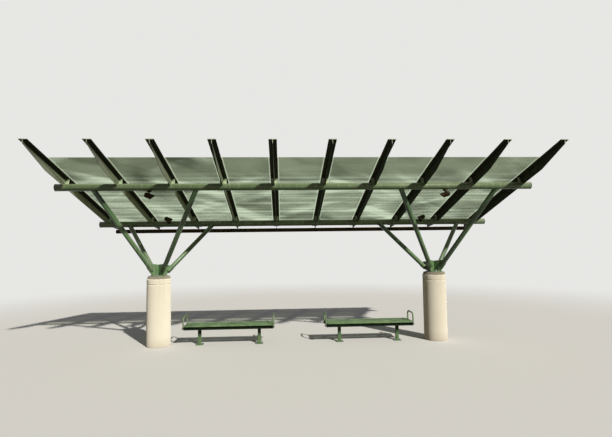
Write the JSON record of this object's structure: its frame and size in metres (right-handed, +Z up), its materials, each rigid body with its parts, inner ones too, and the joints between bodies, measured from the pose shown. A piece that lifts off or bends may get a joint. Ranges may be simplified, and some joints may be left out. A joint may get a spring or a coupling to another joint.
{
  "type": "bus shelter",
  "caption": "Open bus shelter: a sloping glass roof on tapered steel tee rafters and round purlins, carried by branching struts on concrete columns, with slatted benches.",
  "frame": {"origin": "on the ground under the middle of the roof's bounding box", "axes": "+X along the shelter, -Y towards the high open front edge of the roof, +Z up"},
  "size_m": [8.5576, 3.919, 3.513],
  "materials": {
    "green_paint": "semi-gloss",
    "bench_green": "semi-gloss",
    "bronze_paint": "satin",
    "column_concrete": "matt painted",
    "roof_glass": "weathered"
  },
  "bodies": {
    "root": {"column_left": "column_concrete", "hub_left": "green_paint", "strut_left_front_outer": "green_paint", "strut_left_front_inner": "green_paint", "floodlight_front_left": "bronze_paint", "strut_left_rear_outer": "green_paint", "strut_left_rear_inner": "green_paint", "floodlight_rear_left": "bronze_paint", "column_right": "column_concrete", "hub_right": "green_paint", "strut_right_front_outer": "green_paint", "strut_right_front_inner": "green_paint", "floodlight_front_right": "bronze_paint", "strut_right_rear_outer": "green_paint", "strut_right_rear_inner": "green_paint", "floodlight_rear_right": "bronze_paint", "front_purlin": "green_paint", "rear_purlin": "green_paint", "rafter_01": "green_paint", "rafter_02": "green_paint", "rafter_03": "green_paint", "rafter_04": "green_paint", "rafter_05": "green_paint", "rafter_06": "green_paint", "rafter_07": "green_paint", "rafter_08": "green_paint", "rafter_09": "green_paint", "rafter_10": "green_paint", "glass_01": "roof_glass", "glass_02": "roof_glass", "glass_03": "roof_glass", "glass_04": "roof_glass", "glass_05": "roof_glass", "glass_06": "roof_glass", "glass_07": "roof_glass", "glass_08": "roof_glass", "glass_09": "roof_glass", "rear_edge_tube": "bronze_paint", "bench_left_seat": "bench_green", "bench_left_beam": "bench_green", "bench_left_posts": "bench_green", "bench_left_armrests": "bench_green", "bench_right_seat": "bench_green", "bench_right_beam": "bench_green", "bench_right_posts": "bench_green", "bench_right_armrests": "bench_green"}
  },
  "joints": []
}
